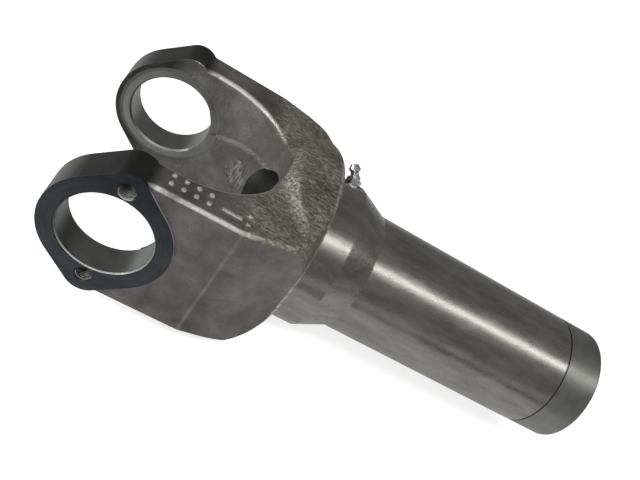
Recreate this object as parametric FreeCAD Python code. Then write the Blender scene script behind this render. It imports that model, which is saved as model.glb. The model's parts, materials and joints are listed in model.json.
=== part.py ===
"""Slip yoke for a heavy driveline: forged two-ear yoke and splined sleeve in one piece.

Frame: millimetres. +X runs along the sleeve away from the ears, Y is the axis of the cross
bore, +Z is up. The origin is where the cross bore axis meets the sleeve axis.
"""
import math
import os

import FreeCAD
import Part

V = FreeCAD.Vector

# --- ears and cross bore -------------------------------------------------------------
BORE_DIA = 47.625            # bearing cap bore through both ears
ACROSS_PADS = 134.9          # outside to outside of the machined ear pads
EAR_GAP = 95.6               # inside to inside of the ears
EAR_R = 33.0                 # round of the ear about the bore
LOBE_R = 10.5                # round of the pad about each screw hole
SCREW_PITCH = 59.7           # between the two screw holes of one ear
SCREW_TAP_DIA = 8.4          # hole left for a 3/8 inch fine thread
SCREW_DEPTH = 17.0
SCREW_LEAD = 0.8             # countersink at the mouth of each screw hole
BORE_LEAD = 1.0              # chamfer at both ends of each bearing bore

# --- arms and hub --------------------------------------------------------------------
ARM_ACROSS = ACROSS_PADS - 2.9   # rough forging, a little inside the pads
ARM_HEIGHT = 79.0
ARM_START_X = 0.0
ARM_EDGE_R = 2.6
CREASE_X = 54.0              # where the outside of each arm turns in toward the hub
CREASE_ANGLE = 13.0
SHOULDER_X = 66.0            # start of the round shoulder
SHOULDER_RUNOUT = 5.0        # how far its arc runs on past the rear of the hub
HUB_REAR_X = 95.5
HUB_HEIGHT = ARM_HEIGHT + 18.0   # thicker rear part of the hub, on the centre line
HUB_CROWN_R = 125.0          # its top and bottom fall away to both sides
NOSE_X = 74.6                # end of the ramp that climbs from the arms to the hub
NOSE_R = 45.0
NOSE_ANGLE = 60.0            # steepest part of the ramp
RIM_R = HUB_HEIGHT / 2 - 0.5
BACK_MID_X = 86.5            # rounded back of the hub, half way and at its front end
BACK_MID_R = RIM_R + 15.5
BACK_START_X = 62.5
BACK_START_R = RIM_R + 28.5
CROTCH_X = 18.5              # centre of the round crotch between the arms
CROTCH_EDGE_R = 3.0

# --- trimmed land left in the crotch -------------------------------------------------
LAND_RISE = 1.6
LAND_START_X = 25.0
LAND_START_HALF = 3.0
LAND_END_HALF = 21.0

# --- collar and sleeve ---------------------------------------------------------------
COLLAR_DIA = 2 * RIM_R - 8.3
COLLAR_ROOT = 15.0           # how far the turned length reaches into the hub
COLLAR_LENGTH = 16.8
COLLAR_END_X = HUB_REAR_X + COLLAR_LENGTH
SLEEVE_DIA = 71.0
TAPER_LENGTH = 18.2
TAPER_END_X = COLLAR_END_X + TAPER_LENGTH
SLEEVE_END_X = 279.0

# --- internal spline -----------------------------------------------------------------
SPLINE_TEETH = 16
SPLINE_MODULE = 3.175
SPLINE_PRESSURE = 30.0
SPLINE_MINOR_DIA = SPLINE_MODULE * (SPLINE_TEETH - 1)
SPLINE_MAJOR_DIA = SPLINE_MODULE * (SPLINE_TEETH + 1.2)
SPLINE_MOUTH_DIA = SPLINE_MAJOR_DIA + 1.4    # plain lead-in bore at the open end
SPLINE_MOUTH = 9.0

# --- expansion plug in the crotch ----------------------------------------------------
PLUG_DIA = SPLINE_MAJOR_DIA + 0.8
PLUG_SHEET = 2.4
PLUG_DISH = 4.0              # how far the middle stands forward of the rim
PLUG_SEAT_X = 73.2           # ledge the rim of the plug is driven against

# --- dust cap and seal on the sleeve end ---------------------------------------------
CAP_LAP = 14.4               # length of the cap that goes over the sleeve
CAP_START_X = SLEEVE_END_X - CAP_LAP
CAP_SHEET = 1.2
CAP_STANDOFF = 8.7           # room for the seal and the end wall beyond the sleeve
CAP_END_X = SLEEVE_END_X + CAP_STANDOFF
CAP_HOLE_DIA = SPLINE_MAJOR_DIA + 1.4
CAP_CORNER_R = 1.6
CAP_GROOVE = 0.9             # gap between the sleeve shoulder and the rim of the cap
SEAL_HOLE_DIA = SPLINE_MAJOR_DIA - 0.4
SLIP = 0.02                  # gap left between pieces that are pressed or screwed together

# --- grease fitting on the collar ----------------------------------------------------
FITTING_SETBACK = 9.5        # from the rear of the hub
FITTING_X = HUB_REAR_X + FITTING_SETBACK
FITTING_TILT = 27.0          # about the sleeve axis, from straight up toward the far arm
FITTING_BEND = 30.0          # nipple leans toward the ears
PORT_DIA = 6.4
PORT_DEPTH = 6.5
PORT_SEAT_DIA = 12.5
PORT_SEAT_R = COLLAR_DIA / 2 - 1.45   # flat seat cut into the round collar
FEED_DIA = 3.0
HEX_FLATS = 8.0
HEX_HEIGHT = 4.2
SHANK_LENGTH = 5.6
KNEE_HEIGHT = 3.4            # where the leaning nipple leaves the upright shank
NECK_DIA = 4.6
HEAD_DIA = 6.6
TIP_DIA = 4.0
NIPPLE_LENGTH = 9.0          # knee to tip
PASSAGE_DIA = 1.8
VALVE_DIA = 2.8              # chamber of the check ball
VALVE_START = 2.4            # both ends of the chamber, measured from the knee
VALVE_END = 8.5
MOUTH_DIA = 1.9
BALL_DIA = 2.5

# --- raised pips and bar on the top of one arm ---------------------------------------
MARK_RISE = 0.9
PIP_DIA = 2.6
PIP_COLUMNS_X = (15.0, 21.4, 27.8, 34.2, 54.8)
PIP_ROWS_Y = (-52.4, -58.6)
BAR_START_X = 40.6
BAR_LENGTH = 10.6
BAR_WIDTH = 2.2
BAR_Y = -57.8


def radians(angle):
    return math.radians(angle)


def closed_face(edges):
    return Part.Face(Part.Wire(edges))


def line(a, b):
    return Part.LineSegment(a, b).toShape()


def arc(a, mid, b):
    return Part.Arc(a, mid, b).toShape()


def mirrored(shape, normal):
    return shape.mirror(V(0, 0, 0), normal)


def turned(points):
    """Solid of revolution about +X from (x, radius) corners, closed along the axis or itself."""
    corners = [V(x, 0, r) for x, r in points]
    face = Part.Face(Part.makePolygon(corners + corners[:1]))
    return face.revolve(V(0, 0, 0), V(1, 0, 0), 360)


def rod(radius, start_x, end_x):
    return Part.makeCylinder(radius, end_x - start_x, V(start_x, 0, 0), V(1, 0, 0))


# --- sub-shapes of the forging -------------------------------------------------------
def ear_pad():
    """One ear: two screw lobes and a large round joined by tangent flats, along +Y."""
    lobe_z = SCREW_PITCH / 2
    sin_a = (EAR_R - LOBE_R) / lobe_z
    cos_a = math.sqrt(1 - sin_a ** 2)
    inner = EAR_GAP / 2

    def at(x, z):
        return V(x, inner, z)

    edges = []
    for sx, sz in ((1, 1), (1, -1), (-1, -1), (-1, 1)):
        lobe = at(sx * LOBE_R * cos_a, sz * (lobe_z + LOBE_R * sin_a))
        flank = at(sx * EAR_R * cos_a, sz * EAR_R * sin_a)
        edges.append(line(lobe, flank))
    for sx in (1, -1):
        edges.append(arc(at(sx * EAR_R * cos_a, EAR_R * sin_a), at(sx * EAR_R, 0),
                         at(sx * EAR_R * cos_a, -EAR_R * sin_a)))
    for sz in (1, -1):
        z = sz * (lobe_z + LOBE_R * sin_a)
        edges.append(arc(at(LOBE_R * cos_a, z), at(0, sz * (lobe_z + LOBE_R)),
                         at(-LOBE_R * cos_a, z)))
    face = closed_face(Part.__sortEdges__(edges))
    return face.extrude(V(0, (ACROSS_PADS - EAR_GAP) / 2, 0))


def plan_side(side, z):
    """Edges of the plan outline from the crease of one arm to just past the rear of the hub."""
    slope = radians(CREASE_ANGLE)
    ty = ARM_ACROSS / 2 - (SHOULDER_X - CREASE_X) * math.tan(slope)
    run, drop = HUB_REAR_X + SHOULDER_RUNOUT - SHOULDER_X, ty - RIM_R + SHOULDER_RUNOUT
    radius = (run ** 2 + drop ** 2) / (2 * (drop * math.cos(slope) - run * math.sin(slope)))
    cx, cy = SHOULDER_X - radius * math.sin(slope), ty - radius * math.cos(slope)

    def on_shoulder(x):
        return V(x, side * (cy + math.sqrt(radius ** 2 - (x - cx) ** 2)), z)

    crease = V(CREASE_X, side * ARM_ACROSS / 2, z)
    start, rear = on_shoulder(SHOULDER_X), on_shoulder(SHOULDER_X + run)
    return crease, [line(crease, start), arc(start, on_shoulder(SHOULDER_X + run / 2), rear)], rear


def plan_solid(half_height):
    """Outline of arms and hub seen from above, as one solid from -half_height to +half_height."""
    z = -half_height
    near_crease, near_edges, near_rear = plan_side(-1, z)
    far_crease, far_edges, far_rear = plan_side(1, z)
    near_front, far_front = V(ARM_START_X, near_crease.y, z), V(ARM_START_X, far_crease.y, z)
    edges = [line(near_front, near_crease)] + near_edges + [line(near_rear, far_rear)]
    edges += far_edges + [line(far_crease, far_front), line(far_front, near_front)]
    return closed_face(Part.__sortEdges__(edges)).extrude(V(0, 0, 2 * half_height))


def rounded_back():
    """Envelope of revolution that rounds the back of the hub down to the rim."""
    front, wide = -EAR_R, ARM_ACROSS
    start, rim = V(BACK_START_X, 0, BACK_START_R), V(HUB_REAR_X, 0, RIM_R + 0.5)
    edges = [line(V(front, 0, 0), V(front, 0, wide)), line(V(front, 0, wide), V(BACK_START_X, 0, wide)),
             line(V(BACK_START_X, 0, wide), start), arc(start, V(BACK_MID_X, 0, BACK_MID_R), rim),
             line(rim, V(HUB_REAR_X, 0, 0)), line(V(HUB_REAR_X, 0, 0), V(front, 0, 0))]
    return closed_face(edges).revolve(V(0, 0, 0), V(1, 0, 0), 360)


def crotch_tool():
    """Everything between the arms: parallel sides ending in a full round."""
    half = EAR_GAP / 2
    reach = 2 * EAR_R
    slot = Part.makeBox(reach + CROTCH_X, EAR_GAP, HUB_HEIGHT * 2, V(-reach, -half, -HUB_HEIGHT))
    end = Part.makeCylinder(half, HUB_HEIGHT * 2, V(CROTCH_X, 0, -HUB_HEIGHT))
    return slot.fuse(end).removeSplitter()


def round_edges(shape, radius, wanted):
    """Fillet the edges whose bounding box and middle point satisfy wanted(box, middle)."""
    picked = []
    for edge in shape.Edges:
        middle = edge.valueAt((edge.FirstParameter + edge.LastParameter) / 2)
        if wanted(edge.BoundBox, middle):
            picked.append(edge)
    return shape.makeFillet(radius, picked)


def flat_at(box, height):
    return box.ZLength < 0.01 and abs(abs(box.ZMin) - height) < 0.01


def arm_block():
    """Both arms and the front of the hub, with the round crotch cut between the arms."""
    half = ARM_HEIGHT / 2
    block = round_edges(plan_solid(half), ARM_EDGE_R, lambda box, p: flat_at(box, half)
                        and ARM_START_X + 0.1 < p.x < HUB_REAR_X)
    block = block.common(rounded_back()).cut(crotch_tool())
    return round_edges(block, CROTCH_EDGE_R, lambda box, p: flat_at(box, half)
                       and abs(p.y) < EAR_GAP / 2 + 0.1 and p.x < SHOULDER_X + 2)


def nose_tool():
    """Ramp of revolution about a vertical axis: it climbs from the arms to the top of the hub."""
    foot_z, crest_z = ARM_HEIGHT / 2 - 0.2, HUB_HEIGHT / 2 + 0.5
    angle = radians(NOSE_ANGLE)
    bend_r = (crest_z - foot_z) / 2 / (1 - math.cos(angle))
    run = 2 * bend_r * math.sin(angle)
    axis_x = NOSE_X + NOSE_R

    def at(inward, z):
        return V(axis_x - NOSE_R - run + inward, 0, z)

    half = angle / 2
    foot, crest = at(0, foot_z), at(run, crest_z)
    middle = at(run / 2, (foot_z + crest_z) / 2)
    lower = at(bend_r * math.sin(half), foot_z + bend_r * (1 - math.cos(half)))
    upper = at(run - bend_r * math.sin(half), crest_z - bend_r * (1 - math.cos(half)))
    edges = [line(V(axis_x, 0, 0), at(0, 0)), line(at(0, 0), foot), arc(foot, lower, middle),
             arc(middle, upper, crest), line(crest, V(axis_x, 0, crest_z)),
             line(V(axis_x, 0, crest_z), V(axis_x, 0, 0))]
    top = closed_face(edges).revolve(V(axis_x, 0, 0), V(0, 0, 1), 360)
    return top.fuse(mirrored(top, V(0, 0, 1))).removeSplitter()


def hub_block():
    """Thicker rear of the hub: same plan as the arms, crowned, behind the ramp."""
    half = HUB_HEIGHT / 2
    block = plan_solid(half).common(rounded_back()).common(nose_tool())
    for side in (1, -1):
        axis_z = side * (half - HUB_CROWN_R)
        crown = Part.makeCylinder(HUB_CROWN_R, HUB_REAR_X, V(0, 0, axis_z), V(1, 0, 0))
        crown.rotate(V(0, 0, axis_z), V(1, 0, 0), 90 + 90 * side)
        block = block.common(crown)
    return block.cut(crotch_tool())


def trimmed_land():
    """Wedge-shaped land, left where the forging was trimmed, standing a little off the crotch."""
    half_gap = EAR_GAP / 2
    end_x = CROTCH_X + half_gap + 1
    shell = Part.makeCylinder(half_gap + 1, 2 * ARM_HEIGHT, V(CROTCH_X, 0, -ARM_HEIGHT))
    shell = shell.cut(Part.makeCylinder(half_gap - LAND_RISE, 2 * ARM_HEIGHT,
                                        V(CROTCH_X, 0, -ARM_HEIGHT)))
    y = -half_gap - 2
    corners = [V(LAND_START_X, y, LAND_START_HALF), V(end_x, y, LAND_END_HALF),
               V(end_x, y, -LAND_END_HALF), V(LAND_START_X, y, -LAND_START_HALF)]
    wedge = Part.Face(Part.makePolygon(corners + corners[:1])).extrude(V(0, -2 * y, 0))
    return shell.common(wedge)


def spline_space():
    """Outline of one space between the internal teeth, centred on +Z in the YZ plane."""
    pitch_r = SPLINE_TEETH * SPLINE_MODULE / 2
    base_r = pitch_r * math.cos(radians(SPLINE_PRESSURE))
    minor_r, major_r = SPLINE_MINOR_DIA / 2, SPLINE_MAJOR_DIA / 2

    def involute(angle):
        return math.tan(angle) - angle

    def flank(radius, side):
        turn = involute(radians(SPLINE_PRESSURE)) - involute(math.acos(base_r / radius))
        angle = side * (math.pi / (2 * SPLINE_TEETH) + turn)
        return V(0, radius * math.sin(angle), radius * math.cos(angle))

    inner_r = minor_r - 1
    left, right = flank(minor_r, -1), flank(minor_r, 1)
    left_top, right_top = flank(major_r, -1), flank(major_r, 1)
    left_in, right_in = V(0, left.y, inner_r), V(0, right.y, inner_r)
    return closed_face([
        line(left_in, left), arc(left, flank(pitch_r, -1), left_top),
        arc(left_top, V(0, 0, major_r), right_top),
        arc(right_top, flank(pitch_r, 1), right), line(right, right_in), line(right_in, left_in)])


def spline_tool():
    """Splined bore, from the plug seat to the plain lead-in at the open end."""
    length = SLEEVE_END_X - PLUG_SEAT_X
    tool = rod(SPLINE_MINOR_DIA / 2, PLUG_SEAT_X, SLEEVE_END_X)
    space = spline_space().extrude(V(length, 0, 0))
    space.translate(V(PLUG_SEAT_X, 0, 0))
    spaces = []
    for i in range(SPLINE_TEETH):
        copy = space.copy()
        copy.rotate(V(0, 0, 0), V(1, 0, 0), 360.0 * i / SPLINE_TEETH)
        spaces.append(copy)
    return tool.fuse(spaces).removeSplitter()


def cap_seat_r():
    return SLEEVE_DIA / 2 - CAP_SHEET - SLIP


def turned_outside():
    """Collar, taper, sleeve and the reduced end that carries the dust cap."""
    collar_r, sleeve_r = COLLAR_DIA / 2, SLEEVE_DIA / 2
    shoulder_x = CAP_START_X - CAP_GROOVE
    root_x = HUB_REAR_X - COLLAR_ROOT
    return turned([(root_x, 0), (root_x, collar_r), (COLLAR_END_X, collar_r),
                   (TAPER_END_X, sleeve_r), (shoulder_x, sleeve_r), (shoulder_x, cap_seat_r()),
                   (SLEEVE_END_X, cap_seat_r()), (SLEEVE_END_X, 0)])


def raised_marks():
    """Plain pips in two rows and one bar, standing on the top of the -Y arm."""
    top = ARM_HEIGHT / 2
    marks = []
    for x in PIP_COLUMNS_X:
        for y in PIP_ROWS_Y:
            marks.append(Part.makeCone(PIP_DIA / 2 + 1, PIP_DIA / 2 - 0.4, MARK_RISE + 1,
                                       V(x, y, top - 1)))
    bar = Part.makeBox(BAR_LENGTH, BAR_WIDTH, MARK_RISE + 1,
                       V(BAR_START_X, BAR_Y - BAR_WIDTH / 2, top - 1))
    marks.append(bar.makeChamfer(0.4, [e for e in bar.Edges
                                       if e.BoundBox.ZMin > top + MARK_RISE - 0.01]))
    return marks


def bore_tool():
    """Cross bore through both ears, chamfered at each of its four mouths."""
    r, outer, inner = BORE_DIA / 2, ACROSS_PADS / 2, EAR_GAP / 2
    tool = Part.makeCylinder(r, ACROSS_PADS + 2, V(0, -outer - 1, 0), V(0, 1, 0))
    for side in (1, -1):
        axis = V(0, side, 0)
        tool = tool.fuse([
            Part.makeCone(r, r + BORE_LEAD, BORE_LEAD, V(0, side * (outer - BORE_LEAD), 0), axis),
            Part.makeCone(r + BORE_LEAD, r, BORE_LEAD, V(0, side * inner, 0), axis)])
    return tool


def screw_holes():
    """Two tapped holes in each ear face."""
    tools = []
    r, outer = SCREW_TAP_DIA / 2, ACROSS_PADS / 2
    for side in (1, -1):
        for z in (SCREW_PITCH / 2, -SCREW_PITCH / 2):
            mouth, inward = V(0, side * outer, z), V(0, -side, 0)
            tip = V(0, side * (outer - SCREW_DEPTH), z)
            tools.append(Part.makeCylinder(r, SCREW_DEPTH, mouth, inward))
            tools.append(Part.makeCone(r, 0, r / math.tan(radians(59)), tip, inward))
            tools.append(Part.makeCone(r + SCREW_LEAD, r, SCREW_LEAD, mouth, inward))
    return tools


def placed_on_collar(shape):
    """Move a shape from fitting coordinates (seat at the origin, +Z outward) to the collar."""
    shape.translate(V(FITTING_X, 0, PORT_SEAT_R))
    shape.rotate(V(0, 0, 0), V(1, 0, 0), -FITTING_TILT)
    return shape


def grease_port():
    """Flat seat on the collar, tapped port and the feed hole into the splined bore."""
    seat = Part.makeCylinder(PORT_SEAT_DIA / 2, 6)
    port = Part.makeCylinder(PORT_DIA / 2, PORT_DEPTH + 1, V(0, 0, -PORT_DEPTH))
    feed = Part.makeCylinder(FEED_DIA / 2, PORT_SEAT_R - SPLINE_MINOR_DIA / 2 + 4,
                             V(0, 0, SPLINE_MINOR_DIA / 2 - 4 - PORT_SEAT_R))
    return placed_on_collar(seat.fuse([port, feed]))


# --- finished pieces -----------------------------------------------------------------
def forged_yoke():
    body = arm_block().fuse([hub_block(), turned_outside()])
    far_ear = ear_pad()
    body = body.fuse([far_ear, mirrored(far_ear, V(0, 1, 0)), trimmed_land()] + raised_marks())
    body = body.cut([bore_tool(), rod(PLUG_DIA / 2, CROTCH_X, PLUG_SEAT_X), spline_tool(),
                     rod(SPLINE_MOUTH_DIA / 2, SLEEVE_END_X - SPLINE_MOUTH, SLEEVE_END_X + 1),
                     grease_port()] + screw_holes())
    return body.removeSplitter()


def expansion_plug():
    """Dished steel disc, hollow side to the spline, rim against the ledge."""
    r = PLUG_DIA / 2 - SLIP
    rear, front = PLUG_SEAT_X - SLIP, PLUG_SEAT_X - SLIP - PLUG_SHEET
    reach = PLUG_DISH / 2 + r * r / (2 * PLUG_DISH)
    outer = Part.makeSphere(reach, V(front - PLUG_DISH + reach, 0, 0))
    inner = Part.makeSphere(reach, V(rear - PLUG_DISH + reach, 0, 0))
    return rod(r, front - PLUG_DISH - 1, rear).common(outer).cut(inner)


def dust_cap():
    """Thin drawn cap, pushed over the reduced end of the sleeve."""
    r, start, end = SLEEVE_DIA / 2, CAP_START_X, CAP_END_X
    can = turned([(start, 0), (start, r), (end, r), (end, 0)])
    can = round_edges(can, CAP_CORNER_R, lambda box, p: box.XMin > end - 0.01)
    hollow = turned([(start - 1, 0), (start - 1, r - CAP_SHEET), (end - CAP_SHEET, r - CAP_SHEET),
                     (end - CAP_SHEET, 0)])
    hollow = round_edges(hollow, CAP_CORNER_R - CAP_SHEET,
                         lambda box, p: box.XMin > end - CAP_SHEET - 0.01)
    return can.cut([hollow, rod(CAP_HOLE_DIA / 2, end - 5, end + 1)])


def seal_ring():
    """Rubber ring held between the end of the sleeve and the cap."""
    r = SLEEVE_DIA / 2 - CAP_SHEET - SLIP
    start, end = SLEEVE_END_X + SLIP, CAP_END_X - CAP_SHEET - SLIP
    ring = rod(r, start, end).cut(rod(SEAL_HOLE_DIA / 2, start - 1, end + 1))
    return round_edges(ring, CAP_CORNER_R - CAP_SHEET + 0.2, lambda box, p:
                       box.XMin > end - 0.01 and box.ZMax > r - 0.01)


# --- grease fitting, in its own coordinates: seat at the origin, +Z outward ----------
def leaned(shape):
    """Move a shape from nipple coordinates (knee at the origin, tip along +Z) to the fitting."""
    shape.rotate(V(0, 0, 0), V(0, 1, 0), -FITTING_BEND)
    shape.translate(V(0, 0, KNEE_HEIGHT))
    return shape


def hex_base():
    """Hexagon with its upper corners turned off."""
    corner = HEX_FLATS / math.sqrt(3)
    points = [V(corner * math.cos(radians(60 * i)), corner * math.sin(radians(60 * i)), 0)
              for i in range(7)]
    block = Part.Face(Part.makePolygon(points)).extrude(V(0, 0, HEX_HEIGHT))
    return block.common(Part.makeCone(HEX_FLATS / 2 + HEX_HEIGHT * 2, HEX_FLATS / 2 - 0.3,
                                      HEX_HEIGHT))


def nipple():
    """Shoulder, neck and head of the leaning nipple."""
    neck, head, tip = NECK_DIA / 2, HEAD_DIA / 2, TIP_DIA / 2
    points = [(0, 0), (head, 0), (head, 1.0), (neck, 3.2), (neck, 4.4), (head, 5.8),
              (head, 6.6), (tip, NIPPLE_LENGTH), (0, NIPPLE_LENGTH)]
    corners = [V(r, 0, z) for r, z in points]
    face = Part.Face(Part.makePolygon(corners + corners[:1]))
    return face.revolve(V(0, 0, 0), V(0, 0, 1), 360)


def ball_height():
    """Centre of the check ball above the knee, resting under the lip of the mouth."""
    reach = BALL_DIA / 2 + SLIP
    return VALVE_END - math.sqrt(reach ** 2 - (MOUTH_DIA / 2) ** 2)


def grease_fitting():
    shank = Part.makeCylinder(PORT_DIA / 2 - SLIP, SHANK_LENGTH, V(0, 0, -SHANK_LENGTH))
    shank = round_edges(shank, 0.5, lambda box, p: box.ZMax < 0.01 - SHANK_LENGTH)
    body = hex_base()
    body.translate(V(0, 0, SLIP))
    body = body.fuse([shank, Part.makeCylinder(PORT_DIA / 2 - SLIP, 1), leaned(nipple())])
    drill = Part.makeCylinder(PASSAGE_DIA / 2, NIPPLE_LENGTH + 1)
    drill = drill.common(Part.makeBox(8, 8, VALVE_START + 0.5, V(-4, -4, -0.2)))
    chamber = Part.makeCylinder(VALVE_DIA / 2, VALVE_END - VALVE_START, V(0, 0, VALVE_START))
    mouth = Part.makeCylinder(MOUTH_DIA / 2, NIPPLE_LENGTH - VALVE_END + 2,
                              V(0, 0, VALVE_END - 1))
    upright = Part.makeCylinder(PASSAGE_DIA / 2, SHANK_LENGTH + KNEE_HEIGHT + 1,
                                V(0, 0, -SHANK_LENGTH - 1))
    knee = Part.makeSphere(PASSAGE_DIA / 2, V(0, 0, KNEE_HEIGHT))
    passage = leaned(drill.fuse([chamber, mouth])).fuse([upright, knee])
    return placed_on_collar(body.cut(passage).removeSplitter())


def check_ball():
    ball = Part.makeSphere(BALL_DIA / 2, V(0, 0, ball_height()))
    return placed_on_collar(leaned(ball))


PIECES = {
    "forged_yoke": forged_yoke,
    "expansion_plug": expansion_plug,
    "dust_cap": dust_cap,
    "seal_ring": seal_ring,
    "grease_fitting": grease_fitting,
    "check_ball": check_ball,
}

os.makedirs("parts", exist_ok=True)
for name, make in PIECES.items():
    make().exportStep("parts/" + name + ".step")
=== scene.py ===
"""Driveline slip yoke: finishes, screw threads, floor, light and camera."""
import json
import math

import bpy
from mathutils import Matrix, Vector


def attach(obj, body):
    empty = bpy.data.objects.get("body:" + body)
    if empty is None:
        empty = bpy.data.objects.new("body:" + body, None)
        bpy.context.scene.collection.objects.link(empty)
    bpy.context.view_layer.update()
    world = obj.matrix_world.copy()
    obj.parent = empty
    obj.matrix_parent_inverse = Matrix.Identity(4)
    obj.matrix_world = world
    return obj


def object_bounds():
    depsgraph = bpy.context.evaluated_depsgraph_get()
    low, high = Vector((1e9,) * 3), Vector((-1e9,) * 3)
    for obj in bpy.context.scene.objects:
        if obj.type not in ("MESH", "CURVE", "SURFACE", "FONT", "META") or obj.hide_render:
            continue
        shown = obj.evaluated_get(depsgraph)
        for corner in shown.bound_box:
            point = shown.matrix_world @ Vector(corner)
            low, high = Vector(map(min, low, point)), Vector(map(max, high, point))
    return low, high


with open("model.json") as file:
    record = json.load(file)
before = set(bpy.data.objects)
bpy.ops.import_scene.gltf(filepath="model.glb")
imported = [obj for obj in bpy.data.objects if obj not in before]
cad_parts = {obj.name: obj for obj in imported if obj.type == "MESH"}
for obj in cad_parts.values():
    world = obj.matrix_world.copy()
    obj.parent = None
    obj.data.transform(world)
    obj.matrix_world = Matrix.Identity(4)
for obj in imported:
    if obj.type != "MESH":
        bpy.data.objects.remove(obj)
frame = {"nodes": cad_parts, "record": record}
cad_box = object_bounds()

MM = 0.001
scene = bpy.context.scene
nodes = frame["nodes"]
mounts = {mount["name"]: mount for mount in frame["record"]["mounts"]}

# --- sizes shared with the solids, in metres -------------------------------------------
BORE_R = mounts["cross_bore"]["dims"]["r_mm"] * MM
PAD_Y = abs(mounts["near_ear_face"]["pos_m"][1])
SCREW_SPACING = mounts["near_ear_screws"]["dims"]["spacing_y_mm"] * MM
SCREW_R = mounts["near_ear_screws"]["dims"]["hole_r_mm"] * MM
EAR_INNER_Y = 47.8 * MM
EAR_R = 33.0 * MM
ARM_TOP = 39.5 * MM
ARM_SIDE_Y = 66.0 * MM
CREASE_X = 54.0 * MM             # fold line of the arm's side
HUB_REAR_X = 95.5 * MM
PLUG_BORE_R = 27.7 * MM

# --- where each finish starts and stops, in metres -------------------------------------
PAD_SKIN = 0.4 * MM              # a pad's finish reaches this far below its face
BORE_RIM = 1.2 * MM              # a bore's finish takes in its chamfers
INNER_EDGE_Y = EAR_INNER_Y + 0.3 * MM
FACED_R = 29.5 * MM              # faced ring round each bore on the inner side
FLANK_R = EAR_R - 4.5 * MM       # the machined flanks of the ears lie outside this
FLANK_END_X = 8.0 * MM           # where those flanks meet the arms
TIP_END_X = -4.0 * MM            # the ears' inner tips are smooth up to here
PLUG_BORE_EDGE_R = PLUG_BORE_R + 0.3 * MM
TURNED_START_X = HUB_REAR_X + 0.2 * MM
HUB_START_X = 50.0 * MM          # hammered skin on the upward faces of the hub, painted lighter there as a painted highlight
# the pads' milled steps start here; they are painted as a bright highlight line
PAD_WALL_Y = ARM_SIDE_Y + 0.15 * MM
HIGHLIT_EDGES_END_X = 60.0 * MM          # the worn upper edges of the arms, with their painted highlight, fade out here
MARKS_Z, MARKS_END_X = ARM_TOP + 0.3 * MM, 52.0 * MM
# painted highlight: a light line along the fold of each arm's side
CREASE_HIGHLIGHT_Y, CREASE_HIGHLIGHT_HALF = 60.0 * MM, 0.7 * MM
LIP_HIGHLIGHT_HALF = 1.0 * MM              # half the width of the painted highlight on the lip of the hub's rear edge
TEAR_X, TEAR_Y, TEAR_DROP = 50.0 * MM, 34.0 * MM, 4.0 * MM
TEAR_R, TEAR_RAGGED = 8.5 * MM, 18.0 * MM    # size of the torn patches, and how uneven
CORNER_FORGED = 2.6 * MM         # how much rounder forged corners look than cut ones
CORNER_CUT = 0.05 * MM


# --- shader maths as expressions -------------------------------------------------------
class Value:
    """A shader socket, so that sums on it add Math nodes."""

    def __init__(self, material, socket):
        self.material = material
        self.socket = socket

    def _math(self, operation, *others):
        values = {i: v for i, v in enumerate((self,) + others)}
        return self.material.node("ShaderNodeMath", {"operation": operation}, values)["Value"]

    def __add__(self, other):
        return self._math("ADD", other)

    __radd__ = __add__

    def __mul__(self, other):
        return self._math("MULTIPLY", other)

    __rmul__ = __mul__

    def __sub__(self, other):
        return self._math("SUBTRACT", other)

    def __rsub__(self, other):
        return self._math("MULTIPLY", -1.0)._math("ADD", other)

    def __truediv__(self, other):
        return self._math("DIVIDE", other)

    def __pow__(self, other):
        return self._math("POWER", other)

    def above(self, edge, soft=0.0):
        """1 where the value is over edge, blended over a band that is soft wide."""
        if not soft:
            return self._math("GREATER_THAN", edge)
        return ((self - (edge - soft / 2)) / soft).clamped()

    def below(self, edge, soft=0.0):
        return 1 - self.above(edge, soft)

    def clamped(self):
        return self._math("MAXIMUM", 0.0)._math("MINIMUM", 1.0)

    def size(self):
        return self._math("ABSOLUTE")

    def root(self):
        return self._math("SQRT")

    def greater(self, other):
        return self._math("MAXIMUM", other)


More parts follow.
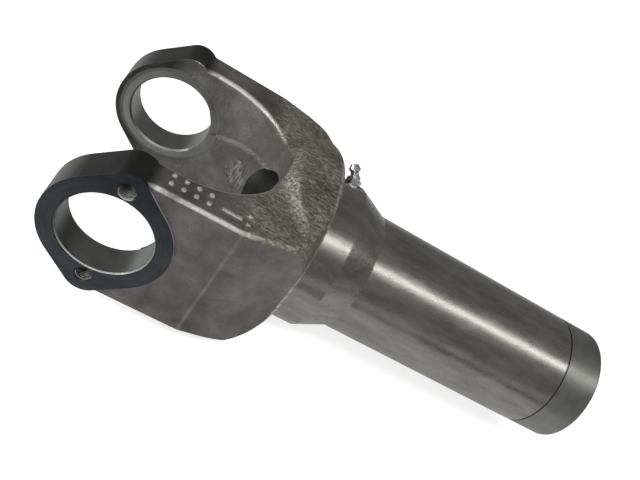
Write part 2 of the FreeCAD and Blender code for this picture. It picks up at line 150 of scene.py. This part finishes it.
class Finish:
    """One material: a Principled BSDF and the nodes that feed it."""

    def __init__(self, name):
        self.material = bpy.data.materials.new(name)
        self.material.use_nodes = True
        self.tree = self.material.node_tree
        self.shader = self.tree.nodes["Principled BSDF"]

    def node(self, kind, settings=None, values=None):
        """Add a node; its outputs come back by name, as Value objects."""
        made = self.tree.nodes.new(kind)
        for key, setting in (settings or {}).items():
            if key == "stops":
                ramp = made.color_ramp
                while len(ramp.elements) < len(setting):
                    ramp.elements.new(0.5)
                for element, (place, colour) in zip(ramp.elements, setting):
                    element.position = place
                    element.color = (*colour, 1.0)
            else:
                setattr(made, key, setting)
        for key, value in (values or {}).items():
            self.feed(made.inputs[key], value)
        return {output.name: Value(self, output) for output in made.outputs if output.enabled}

    def feed(self, socket, value):
        if isinstance(value, Value):
            self.tree.links.new(value.socket, socket)
        elif isinstance(value, tuple) and len(value) == 3 and socket.type == "RGBA":
            socket.default_value = (*value, 1.0)
        else:
            socket.default_value = value

    def place(self):
        """Object coordinates, as one vector."""
        return self.node("ShaderNodeTexCoord")["Object"]

    def facing(self):
        """The surface normal in the part's own frame, as one vector."""
        return self.node("ShaderNodeTexCoord")["Normal"]

    def apart(self, vector):
        """The x, y and z of a vector."""
        parts = self.node("ShaderNodeSeparateXYZ", values={"Vector": vector})
        return parts["X"], parts["Y"], parts["Z"]

    def stretched(self, vector, scale):
        return self.node("ShaderNodeMapping", values={"Vector": vector, "Scale": scale})["Vector"]

    def noise(self, vector, scale, detail=3.0, roughness=0.6):
        values = {"Vector": vector, "Scale": scale, "Detail": detail, "Roughness": roughness}
        return self.node("ShaderNodeTexNoise", {"noise_dimensions": "3D"}, values)["Fac"]

    def cells(self, vector, scale):
        values = {"Vector": vector, "Scale": scale}
        return self.node("ShaderNodeTexVoronoi", values=values)["Distance"]

    def ramp(self, value, stops):
        return self.node("ShaderNodeValToRGB", {"stops": stops}, {"Fac": value})["Color"]

    def along(self, x=0.0, y=0.0, z=0.0):
        """A vector from separate values, for a pattern that runs one way only."""
        return self.node("ShaderNodeCombineXYZ", values={"X": x, "Y": y, "Z": z})["Vector"]

    def softened(self, radius):
        """Normal that rounds off corners over this radius."""
        return self.node("ShaderNodeBevel", {"samples": 6}, {"Radius": radius})["Normal"]

    def blend(self, mask, first, second):
        """The first colour where mask is 0, the second where it is 1."""
        made = self.tree.nodes.new("ShaderNodeMix")
        made.data_type = "RGBA"
        self.feed(made.inputs["Factor"], mask)
        self.feed(made.inputs[6], first)
        self.feed(made.inputs[7], second)
        return Value(self, made.outputs[2])

    def bumps(self, *layers, normal=None):
        """Stack (height, distance, strength) layers on a normal."""
        for height, distance, strength in layers:
            values = {"Height": height, "Distance": distance, "Strength": strength}
            if normal:
                values["Normal"] = normal
            normal = self.node("ShaderNodeBump", values=values)["Normal"]
        return normal

    def finish(self, **sockets):
        """Feed the shader and return the material."""
        for name, value in sockets.items():
            self.feed(self.shader.inputs[name.replace("_", " ")], value)
        return self.material


# --- colours and patterns of the forging -----------------------------------------------
# stops of each colour ramp, from dark to light
SCALE_STOPS = [(0.32, (0.088, 0.079, 0.076)), (0.50, (0.170, 0.158, 0.152)),
               (0.66, (0.275, 0.258, 0.252))]
# hammered skin of the hub's upward faces, lighter than the scale as a painted highlight
HAMMERED_AND_LIT_STOPS = [(0.36, (0.095, 0.087, 0.065)), (0.50, (0.26, 0.245, 0.20)),
                  (0.64, (0.62, 0.60, 0.52))]
TORN_STOPS = [(0.34, (0.085, 0.083, 0.080)), (0.50, (0.17, 0.167, 0.163)),
              (0.66, (0.40, 0.39, 0.38))]
PAD_STOPS = [(0.3, (0.034, 0.040, 0.044)), (0.7, (0.066, 0.075, 0.079))]
BORE_STOPS = [(0.3, (0.165, 0.172, 0.162)), (0.7, (0.285, 0.295, 0.280))]
FLANK_STOPS = [(0.3, (0.031, 0.030, 0.027)), (0.7, (0.066, 0.063, 0.057))]
TURNED_STOPS = [(0.30, (0.195, 0.190, 0.175)), (0.50, (0.28, 0.275, 0.256)),
                (0.72, (0.39, 0.384, 0.362))]
SPECK_STEEL = (0.62, 0.60, 0.56)
# worn bright metal, also the colour of the painted highlights on edges, crease and lip
WORN_AND_HIGHLIT_STEEL = (0.74, 0.73, 0.69)
# painted highlight on the milled step round each pad
PAD_WALL_HIGHLIGHT_STEEL = (0.52, 0.52, 0.50)

# scale per metre, detail and roughness of each even noise
SHADES = (16.0, 2.0, 0.5)
PATCHES = (55.0, 4.0, 0.62)
CLOUDS = (90.0, 3.0, 0.6)
RAGGED = (130.0, 3.0, 0.6)
PITS = (250.0, 4.0, 0.65)
GRAINS = (620.0, 3.0, 0.7)
DENTS_SCALE, SPECKS_SCALE = 420.0, 480.0

# scale per metre along each axis of the patterns that run one way
STROKES_SCALE = (330.0, 760.0, 760.0)
TEARS_SCALE = (520.0, 520.0, 170.0)
SMEARS_SCALE = (45.0, 160.0, 160.0)
RINGS_SCALE, LINES_SCALE = 2600.0, 2400.0


# --- finishes --------------------------------------------------------------------------
def machined_masks(x, y, z, from_bore):
    """1 on the machined ears (pads, bores, flanks, faced rings) and on the turned length."""
    from_axis = (y * y + z * z).root()
    depth = y.size()
    pads = depth.above(PAD_Y - PAD_SKIN)
    bores = from_bore.below(BORE_R + BORE_RIM) * depth.below(PAD_Y - BORE_RIM)
    inner = depth.below(INNER_EDGE_Y)
    flanks = x.below(FLANK_END_X, soft=5 * MM) * from_bore.above(FLANK_R) \
        * (1 - pads) * (1 - inner)
    faced = inner * from_bore.below(FACED_R, soft=2.5 * MM)
    tips = inner * x.below(TIP_END_X, soft=16 * MM) * from_bore.above(FACED_R, soft=2.5 * MM)
    turned = x.above(TURNED_START_X)
    plug_bore = from_axis.below(PLUG_BORE_EDGE_R)
    return pads, bores.greater(plug_bore), flanks.greater(tips), faced, turned


def torn_metal(finish, vector, x, depth, z):
    """Where trimming tore the flash off the crotch walls, and the grain of the tear."""
    from_tear = ((x - TEAR_X) ** 2.0 + (depth - TEAR_Y) ** 2.0 + (z + TEAR_DROP) ** 2.0).root()
    ragged = finish.noise(vector, *RAGGED)
    torn = (from_tear + (ragged - 0.5) * TEAR_RAGGED).below(TEAR_R, soft=2.5 * MM)
    return torn, finish.noise(finish.stretched(vector, TEARS_SCALE), 1.0, 4.0, 0.75)


def worn_and_highlit_metal(x, depth, z, facing_y, facing_z, patches, pits, grains):
    """Bright metal on raised marks and worn upper edges, and painted highlights on those edges,
    the side crease and the hub's rear lip, breaking up along them.
    """
    # upward-facing long edges of the arms: worn bright, and partly a painted highlight
    highlit_edges = (facing_y * facing_z).size().above(0.30, soft=0.16) \
        * x.below(HIGHLIT_EDGES_END_X, soft=14 * MM) * facing_z.above(0.2) \
        * patches.above(0.36, soft=0.2)
    marks = z.above(MARKS_Z) * x.below(MARKS_END_X) * grains.above(0.40, soft=0.2)
    # painted highlight along the fold of the arm's side
    crease_highlight = (x - CREASE_X).size().below(CREASE_HIGHLIGHT_HALF, soft=1.2 * MM) \
        * depth.above(CREASE_HIGHLIGHT_Y) * patches.above(0.42, soft=0.3)
    # painted highlight on the lip of the hub's rear edge
    lip_highlight = (x - (HUB_REAR_X - LIP_HIGHLIGHT_HALF)).size().below(LIP_HIGHLIGHT_HALF, soft=0.8 * MM) \
        * pits.above(0.45, soft=0.12)
    return (highlit_edges * 0.75).greater(marks * 0.85).greater(crease_highlight * 0.2).greater(lip_highlight * 0.7)


def forged_steel():
    """Dark forging scale on the arms and hub, milled ears, turned and polished sleeve."""
    finish = Finish("forged_steel")
    vector = finish.place()
    x, y, z = finish.apart(vector)
    _, facing_y, facing_z = finish.apart(finish.facing())
    depth = y.size()
    from_bore = (x * x + z * z).root()
    pads, bores, flanks, faced, turned = machined_masks(x, y, z, from_bore)
    milled_parts = pads.greater(bores).greater(flanks).greater(faced)
    smooth = milled_parts.greater(turned)
    rough = 1 - smooth

    shades = finish.noise(vector, *SHADES)
    patches = finish.noise(vector, *PATCHES)
    grains = finish.noise(vector, *GRAINS)
    pits = finish.noise(vector, *PITS)
    strokes = finish.noise(finish.stretched(vector, STROKES_SCALE), 1.0, 3.0, 0.75)
    dents = finish.cells(vector, DENTS_SCALE)
    # the hub's upward faces: hammered skin, painted lighter there as a painted highlight
    hub = x.above(HUB_START_X, soft=14 * MM) * facing_z.above(0.25, soft=0.4)
    specks = finish.cells(vector, SPECKS_SCALE).below(0.2, soft=0.16) \
        * grains.above(0.56, soft=0.06) * patches.above(0.5, soft=0.2)
    scale = finish.ramp(patches * 0.6 + shades * 0.4, SCALE_STOPS)
    hammered_and_lit = finish.ramp(strokes * 0.7 + patches * 0.3, HAMMERED_AND_LIT_STOPS)
    scale = finish.blend(hub * 0.85, scale, hammered_and_lit)
    # bright specks, with extra ones on the hub's upward faces as painted glints
    scale = finish.blend(specks * (0.25 + hub * 0.5), scale, SPECK_STEEL)

    torn, tears = torn_metal(finish, vector, x, depth, z)
    scale = finish.blend(torn, scale, finish.ramp(tears, TORN_STOPS))
    # worn metal, and the painted highlights on the arms' edges, the side crease and the hub's lip
    worn_and_highlit = worn_and_highlit_metal(x, depth, z, facing_y, facing_z, patches, pits, grains) * rough
    scale = finish.blend(worn_and_highlit, scale, WORN_AND_HIGHLIT_STEEL)
    # painted highlight: a bright line on the milled step round each pad
    pad_wall_highlight = depth.above(PAD_WALL_Y) * (1 - pads) * x.above(FLANK_END_X)
    scale = finish.blend(pad_wall_highlight * 0.85, scale, PAD_WALL_HIGHLIGHT_STEEL)

    tooling = finish.along(from_bore * RINGS_SCALE, y * RINGS_SCALE)
    rings = finish.noise(tooling, 1.0, 2.0, 0.5)
    clouds = finish.noise(vector, *CLOUDS)
    tone = rings * 0.5 + clouds * 0.5
    milled = finish.ramp(tone, PAD_STOPS)
    milled = finish.blend(bores.greater(faced), milled, finish.ramp(tone, BORE_STOPS))
    milled = finish.blend(flanks * 0.8, milled, finish.ramp(clouds, FLANK_STOPS))

    lines = finish.noise(finish.along(x * LINES_SCALE), 1.0, 3.0, 0.6)
    smears = finish.noise(finish.stretched(vector, SMEARS_SCALE), 1.0, 4.0, 0.65)
    polished = finish.ramp(lines * 0.35 + smears * 0.65, TURNED_STOPS)

    colour = finish.blend(milled_parts, scale, milled)
    colour = finish.blend(turned, colour, polished)
    roughness = (0.45 + pits * 0.2 - worn_and_highlit * 0.16) * rough \
        + (0.30 + rings * 0.14) * milled_parts + (0.20 + smears * 0.16) * turned
    forged_height = (pits * 0.7 + grains * 0.3) * rough
    dented_height = (dents * 0.5 + strokes * 0.5) * hub * rough + tears * torn
    corners = finish.softened(rough * CORNER_FORGED + CORNER_CUT)
    normal = finish.bumps((forged_height, 0.9 * MM, 0.8), (dented_height, 0.8 * MM, 0.7),
                          (rings * milled_parts, 0.05 * MM, 0.3),
                          (lines * turned, 0.10 * MM, 0.5), normal=corners)
    return finish.finish(Base_Color=colour, Roughness=roughness, Metallic=0.85 + smooth * 0.15,
                         Normal=normal)


def thread_steel():
    """Cut threads in bright steel, mottled by chatter."""
    finish = Finish("thread_steel")
    vector = finish.place()
    chatter = finish.noise(vector, 900.0, 2.0)
    colour = finish.ramp(chatter, [(0.3, (0.24, 0.24, 0.23)), (0.7, (0.50, 0.50, 0.48))])
    return finish.finish(Base_Color=colour, Metallic=1.0, Roughness=0.26 + chatter * 0.14,
                         Normal=finish.bumps((chatter, 0.05 * MM, 0.5)))


def sheet_steel(name, dark, light, rough):
    """Bare or plated steel with faint clouding and scratches."""
    finish = Finish(name)
    vector = finish.place()
    clouds = finish.noise(vector, 120.0, 3.0)
    scratches = finish.noise(finish.stretched(vector, (2600.0, 160.0, 160.0)), 1.0, 2.0)
    colour = finish.ramp(clouds * 0.6 + scratches * 0.4, [(0.3, dark), (0.7, light)])
    return finish.finish(Base_Color=colour, Metallic=1.0, Roughness=rough + scratches * 0.12,
                         Normal=finish.bumps((scratches, 0.05 * MM, 0.4)))


def seal_rubber():
    """Black rubber with a little dust."""
    finish = Finish("seal_rubber")
    vector = finish.place()
    dust = finish.noise(vector, 260.0, 3.0)
    colour = finish.ramp(dust, [(0.35, (0.018, 0.018, 0.018)), (0.75, (0.05, 0.05, 0.048))])
    return finish.finish(Base_Color=colour, Roughness=0.55 + dust * 0.2,
                         Normal=finish.bumps((dust, 0.1 * MM, 0.4)))


finishes = {
    "forged_yoke": forged_steel(),
    "expansion_plug": sheet_steel("plug_steel", (0.10, 0.085, 0.08), (0.17, 0.15, 0.14), 0.38),
    "dust_cap": sheet_steel("cap_steel", (0.20, 0.20, 0.185), (0.30, 0.30, 0.28), 0.36),
    "seal_ring": seal_rubber(),
    "grease_fitting": sheet_steel("zinc_plate", (0.55, 0.58, 0.58), (0.70, 0.72, 0.72), 0.22),
    "check_ball": sheet_steel("ball_steel", (0.45, 0.45, 0.45), (0.55, 0.55, 0.55), 0.12),
}
for name, material in finishes.items():
    slots = nodes[name].data.materials
    slots.clear()
    slots.append(material)


# --- threads in the four tapped holes --------------------------------------------------
SCREW_PITCH = 1.25 * MM
THREADED = 15.0 * MM
THREAD_START = 1.0 * MM          # below the pad, past the countersink
RIDGE_R = 0.42 * MM
STEPS_A_TURN = 24


class Tree:
    """A Geometry Nodes tree whose sizes are named inputs."""

    def __init__(self, name):
        self.group = bpy.data.node_groups.new(name, "GeometryNodeTree")
        self.group.interface.new_socket("Geometry", in_out="OUTPUT",
                                        socket_type="NodeSocketGeometry")
        self.settings = {}
        self.inlet = self.group.nodes.new("NodeGroupInput")
        self.outlet = self.group.nodes.new("NodeGroupOutput")

    def size(self, name, value):
        """A named length or number that the tree takes in."""
        socket = self.group.interface.new_socket(name, in_out="INPUT",
                                                 socket_type="NodeSocketFloat")
        self.settings[socket.identifier] = value
        return self.inlet.outputs[name]

    def node(self, kind, settings=None, values=None):
        """Add a node and return its outputs."""
        made = self.group.nodes.new(kind)
        for key, setting in (settings or {}).items():
            setattr(made, key, setting)
        for key, value in (values or {}).items():
            if isinstance(value, bpy.types.NodeSocket):
                self.group.links.new(value, made.inputs[key])
            else:
                made.inputs[key].default_value = value
        return made.outputs

    def build(self, name, geometry, material):
        """Realise the result, give it its material and return it as one plain mesh."""
        whole = self.node("GeometryNodeRealizeInstances", values={"Geometry": geometry})
        dressed = self.node("GeometryNodeSetMaterial",
                            values={"Geometry": whole[0], "Material": material})
        self.group.links.new(dressed[0], self.outlet.inputs[0])
        carrier = bpy.data.objects.new(name, bpy.data.meshes.new(name))
        scene.collection.objects.link(carrier)
        modifier = carrier.modifiers.new(name, "NODES")
        modifier.node_group = self.group
        for identifier, value in self.settings.items():
            modifier[identifier] = value
        bpy.context.view_layer.update()
        ready = carrier.evaluated_get(bpy.context.evaluated_depsgraph_get())
        mesh = bpy.data.meshes.new_from_object(ready)
        carrier.modifiers.remove(modifier)
        carrier.data = mesh
        return carrier


def screw_threads():
    """A helical ridge in each tapped hole, right-handed, its crest inside the bored wall."""
    tree = Tree("screw_threads")
    bore = tree.size("Hole radius", SCREW_R)
    ridge = tree.size("Ridge radius", RIDGE_R)
    length = tree.size("Threaded length", THREADED)
    turns = tree.size("Turns", THREADED / SCREW_PITCH)
    across = tree.size("Hole centres, ear to ear", 2 * (PAD_Y - THREAD_START) - THREADED)
    apart = tree.size("Hole spacing", SCREW_SPACING)

    helix = tree.node("GeometryNodeCurveSpiral", values={
        "Resolution": STEPS_A_TURN, "Rotations": turns, "Start Radius": bore,
        "End Radius": bore, "Height": length})
    upright = tree.node("GeometryNodeSetCurveNormal", values={"Curve": helix[0]})
    section = tree.node("GeometryNodeCurvePrimitiveCircle",
                        values={"Resolution": 4, "Radius": ridge})
    wound = tree.node("GeometryNodeCurveToMesh", values={
        "Curve": upright[0], "Profile Curve": section["Curve"], "Fill Caps": True})
    half = tree.node("ShaderNodeMath", {"operation": "MULTIPLY"}, {0: length, 1: -0.5})
    lower = tree.node("ShaderNodeCombineXYZ", values={"Z": half[0]})
    centred = tree.node("GeometryNodeTransform",
                        values={"Geometry": wound[0], "Translation": lower[0]})
    laid = tree.node("GeometryNodeTransform",
                     values={"Geometry": centred[0], "Rotation": (0.0, math.pi / 2, 0.0)})
    holes = tree.node("GeometryNodeMeshGrid", values={
        "Size X": across, "Size Y": apart, "Vertices X": 2, "Vertices Y": 2})
    placed = tree.node("GeometryNodeInstanceOnPoints",
                       values={"Points": holes["Mesh"], "Instance": laid[0]})
    whole = tree.node("GeometryNodeRealizeInstances", values={"Geometry": placed[0]})
    turned = tree.node("GeometryNodeTransform", values={
        "Geometry": whole[0], "Rotation": (math.pi / 2, 0.0, math.pi / 2)})
    return tree.build("screw_threads", turned[0], thread_steel())


threads = screw_threads()
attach(threads, "root")


# --- floor, light, camera --------------------------------------------------------------
FLOOR_Z = cad_box[0].z - 0.2 * MM
WHITE = (1.0, 1.0, 1.0)
FLOOR_NEAR, FLOOR_FAR = 0.70, 1.0            # how bright the floor is seen, near and far
FLOOR_REFLECTED = 0.15
WORLD_SEEN, WORLD_LIGHT = 1.0, 0.24
EARS, SLEEVE = (0.10, 0.0, 0.0), (0.30, 0.0, 0.0)


def plane(name, size_x, size_y, place):
    """A flat stage piece; its two sizes run from the middle to the edges."""
    corners = [(-size_x, -size_y, 0), (size_x, -size_y, 0), (size_x, size_y, 0),
               (-size_x, size_y, 0)]
    mesh = bpy.data.meshes.new(name)
    mesh.from_pydata([Vector(c) + Vector(place) for c in corners], [], [(0, 1, 2, 3)])
    made = bpy.data.objects.new(name, mesh)
    scene.collection.objects.link(made)
    return made


def floor_finish():
    """Matt white, brighter to the camera and whiter far off, and fainter in reflections."""
    finish = Finish("floor_white")
    x, y, _ = finish.apart(finish.place())
    paths = finish.node("ShaderNodeLightPath")
    far = (x * x + y * y).root().above(0.9, soft=0.8)
    seen = paths["Is Camera Ray"] * (FLOOR_NEAR + far * (FLOOR_FAR - FLOOR_NEAR)) \
        + paths["Is Glossy Ray"] * FLOOR_REFLECTED
    return finish.finish(Base_Color=(0.86, 0.86, 0.86), Roughness=0.7,
                         Emission_Color=WHITE, Emission_Strength=seen)


floor = plane("floor", 3.0, 3.0, (0.1, 0.3, FLOOR_Z))
floor.data.materials.append(floor_finish())


def black_card():
    """A low dark card in front that only reflections see, for contrast on the bare metal."""
    card = plane("black_card", 0.6, 0.06, (0.1, -0.22, FLOOR_Z + 0.3 * MM))
    finish = Finish("black_card")
    card.data.materials.append(finish.finish(Base_Color=(0.02, 0.02, 0.02), Roughness=1.0))
    card.visible_camera = False
    card.visible_diffuse = False
    card.visible_shadow = False
    card.visible_transmission = False


black_card()


def soft_box(name, place, target, size, power):
    """A rectangular lamp at place that points at target."""
    lamp = bpy.data.lights.new(name, "AREA")
    lamp.shape = "RECTANGLE"
    lamp.size, lamp.size_y = size
    lamp.energy = power
    made = bpy.data.objects.new(name, lamp)
    scene.collection.objects.link(made)
    made.location = place
    made.rotation_euler = (Vector(target) - Vector(place)).to_track_quat("-Z", "Y").to_euler()


soft_box("key", (0.42, -0.46, 0.80), SLEEVE, size=(1.9, 0.08), power=4.2)
soft_box("side", (-0.85, -0.10, 0.34), EARS, size=(0.5, 0.4), power=5.0)
soft_box("front", (-0.30, -0.90, 0.30), EARS, size=(0.6, 0.6), power=2.0)


def studio_world():
    """Dim even light from all round, and plain white where the camera sees past the floor."""
    world = bpy.data.worlds.new("studio")
    world.use_nodes = True
    tree = world.node_tree
    light = tree.nodes["Background"]
    backdrop = tree.nodes.new("ShaderNodeBackground")
    for background, strength in ((light, WORLD_LIGHT), (backdrop, WORLD_SEEN)):
        background.inputs["Color"].default_value = (*WHITE, 1.0)
        background.inputs["Strength"].default_value = strength
    either = tree.nodes.new("ShaderNodeMixShader")
    path = tree.nodes.new("ShaderNodeLightPath")
    tree.links.new(path.outputs["Is Camera Ray"], either.inputs["Fac"])
    tree.links.new(light.outputs[0], either.inputs[1])
    tree.links.new(backdrop.outputs[0], either.inputs[2])
    tree.links.new(either.outputs[0], tree.nodes["World Output"].inputs["Surface"])
    return world


scene.world = studio_world()

CAMERA_PLACE = Vector((2.4, -326.5, 250.9)) * MM
CAMERA_LOOK = Vector((0.2439, 0.7779, -0.5792))
CAMERA_ROLL = 38.87
lens = bpy.data.cameras.new("camera")
lens.sensor_width = 36.0
lens.lens = 41.71
lens.clip_start = 0.01
camera = bpy.data.objects.new("camera", lens)
scene.collection.objects.link(camera)
level = CAMERA_LOOK.cross(Vector((0, 0, 1))).normalized()
upright = level.cross(CAMERA_LOOK).normalized()
turn = Matrix.Rotation(math.radians(CAMERA_ROLL), 3, -CAMERA_LOOK)
axes = Matrix((turn @ level, turn @ upright, -CAMERA_LOOK.normalized())).transposed()
camera.matrix_world = Matrix.Translation(CAMERA_PLACE) @ axes.to_4x4()
scene.camera = camera
scene.view_settings.view_transform = "Standard"
